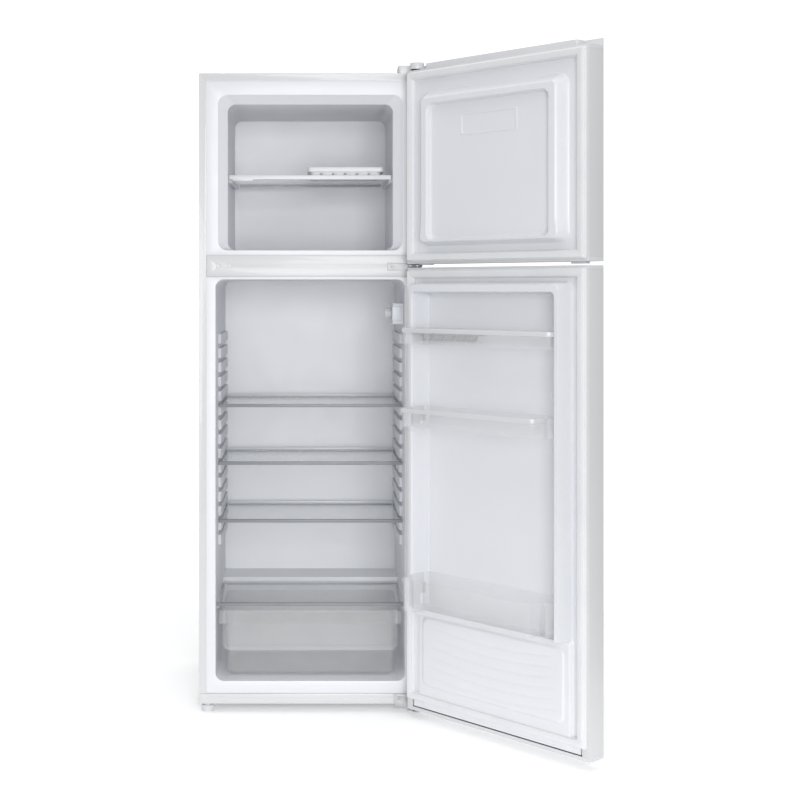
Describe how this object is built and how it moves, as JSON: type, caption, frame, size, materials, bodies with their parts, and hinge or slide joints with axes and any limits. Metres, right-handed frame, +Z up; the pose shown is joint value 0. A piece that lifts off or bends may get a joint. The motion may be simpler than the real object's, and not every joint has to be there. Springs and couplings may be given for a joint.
{
  "type": "top freezer refrigerator",
  "caption": "Free-standing refrigerator with a freezer above, right-hinged doors, glass shelves, a clear crisper drawer and lift-out door bins.",
  "frame": {"origin": "on the floor, below the middle of the cabinet front plane", "axes": "+X to the right seen from the front, +Y from the front into the cabinet, +Z up"},
  "size_m": [0.9061, 0.9461, 1.5821],
  "materials": {
    "steel_white": "smooth gloss enamel",
    "zinc_steel": "zinc plated",
    "black_steel": "satin black enamel",
    "foam": "rigid polyurethane foam",
    "liner_plastic": "satin moulded polystyrene",
    "white_plastic": "moulded gloss",
    "grey_plastic": "satin grey",
    "black_plastic": "matt black",
    "black_rubber": "matt black rubber",
    "seal_rubber": "soft white vinyl",
    "copper": "bright copper tube",
    "aluminium": "roll-bond plate",
    "shelf_glass": "clear tempered",
    "frosted_plastic": "frosted polystyrene",
    "clear_plastic": "clear polystyrene",
    "bulb_glass": "frosted"
  },
  "bodies": {
    "cabinet": {"outer_shell": "steel_white", "back_panel": "zinc_steel", "insulation": "foam", "freezer_liner": "liner_plastic", "fridge_liner": "liner_plastic", "front_crossbar": "steel_white", "base_rail": "steel_white", "bottom_plate": "zinc_steel", "compressor_base": "zinc_steel", "rear_feet": "black_plastic", "compressor": "black_steel", "compressor_grommets": "black_rubber", "relay_cover": "black_plastic", "condenser": "copper", "gas_pipes": "copper", "evaporation_pan": "black_plastic", "cord_gland": "black_rubber", "evaporator": "aluminium", "top_hinge": "black_steel", "top_hinge_cover": "white_plastic", "middle_hinge": "zinc_steel", "bottom_hinge": "zinc_steel", "hinge_screws": "zinc_steel", "hole_plugs": "white_plastic", "control_box": "liner_plastic", "lamp_lens": "frosted_plastic", "lamp_bulb": "bulb_glass"},
    "thermostat": {"thermostat_dial": "white_plastic"},
    "left_foot": {"foot_left": "grey_plastic"},
    "right_foot": {"foot_right": "grey_plastic"},
    "high_shelf": {"shelf_high_glass": "shelf_glass", "shelf_high_trim": "grey_plastic"},
    "middle_shelf": {"shelf_middle_glass": "shelf_glass", "shelf_middle_trim": "grey_plastic"},
    "low_shelf": {"shelf_low_glass": "shelf_glass", "shelf_low_trim": "grey_plastic"},
    "crisper_cover": {"cover_glass": "shelf_glass", "cover_trim": "grey_plastic"},
    "crisper_drawer": {"crisper": "clear_plastic"},
    "freezer_shelf": {"freezer_shelf_plate": "shelf_glass", "freezer_shelf_trim": "white_plastic"},
    "ice_tray": {"freezer_tray": "white_plastic"},
    "freezer_door": {"freezer_door_panel": "steel_white", "freezer_door_top_cap": "white_plastic", "freezer_door_bottom_cap": "white_plastic", "freezer_door_liner": "liner_plastic", "freezer_door_foam": "foam", "freezer_door_gasket": "seal_rubber"},
    "fridge_door": {"fridge_door_panel": "steel_white", "fridge_door_top_cap": "white_plastic", "fridge_door_bottom_cap": "white_plastic", "fridge_door_liner": "liner_plastic", "fridge_door_foam": "foam", "fridge_door_gasket": "seal_rubber"},
    "egg_rack": {"egg_bin": "clear_plastic", "egg_bin_rail": "white_plastic"},
    "egg_cups": {"egg_tray": "clear_plastic"},
    "middle_rack": {"middle_bin": "clear_plastic", "middle_bin_rail": "white_plastic"},
    "bottle_rack": {"bottle_bin": "clear_plastic"}
  },
  "joints": [
    {"name": "freezer_door_hinge", "type": "hinge", "parent": "cabinet", "child": "freezer_door", "pos_m": [0.2585, -0.032, 1.3], "axis": [0, 0, 1], "range_deg": [-131.4, 0]},
    {"name": "fridge_door_hinge", "type": "hinge", "parent": "cabinet", "child": "fridge_door", "pos_m": [0.2585, -0.032, 0.55], "axis": [0, 0, 1], "range_deg": [-131.4, 0]},
    {"name": "thermostat_turn", "type": "hinge", "parent": "cabinet", "child": "thermostat", "pos_m": [0.205, 0.132, 0.976], "axis": [-1, 0, 0], "range_deg": [0, 300]},
    {"name": "left_foot_height", "type": "slide", "parent": "cabinet", "child": "left_foot", "axis": [0, 0, -1], "range_m": [0, 0.012]},
    {"name": "right_foot_height", "type": "slide", "parent": "cabinet", "child": "right_foot", "axis": [0, 0, -1], "range_m": [0, 0.012]},
    {"name": "high_shelf_slide", "type": "slide", "parent": "cabinet", "child": "high_shelf", "axis": [0, -1, 0], "range_m": [0, 0.19]},
    {"name": "middle_shelf_slide", "type": "slide", "parent": "cabinet", "child": "middle_shelf", "axis": [0, -1, 0], "range_m": [0, 0.19]},
    {"name": "low_shelf_slide", "type": "slide", "parent": "cabinet", "child": "low_shelf", "axis": [0, -1, 0], "range_m": [0, 0.19]},
    {"name": "crisper_cover_slide", "type": "slide", "parent": "cabinet", "child": "crisper_cover", "axis": [0, -1, 0], "range_m": [0, 0.12]},
    {"name": "crisper_slide", "type": "slide", "parent": "cabinet", "child": "crisper_drawer", "axis": [0, -1, 0], "range_m": [0, 0.17]},
    {"name": "freezer_shelf_slide", "type": "slide", "parent": "cabinet", "child": "freezer_shelf", "axis": [0, -1, 0], "range_m": [0, 0.2]},
    {"name": "ice_tray_lift", "type": "slide", "parent": "freezer_shelf", "child": "ice_tray", "axis": [0, 0, 1], "range_m": [0, 0.1]},
    {"name": "egg_rack_lift", "type": "slide", "parent": "fridge_door", "child": "egg_rack", "axis": [0, 0, 1], "range_m": [0, 0.04]},
    {"name": "egg_cups_lift", "type": "slide", "parent": "egg_rack", "child": "egg_cups", "axis": [0, 0, 1], "range_m": [0, 0.05]},
    {"name": "middle_rack_lift", "type": "slide", "parent": "fridge_door", "child": "middle_rack", "axis": [0, 0, 1], "range_m": [0, 0.04]},
    {"name": "bottle_rack_lift", "type": "slide", "parent": "fridge_door", "child": "bottle_rack", "axis": [0, 0, 1], "range_m": [0, 0.05]}
  ]
}
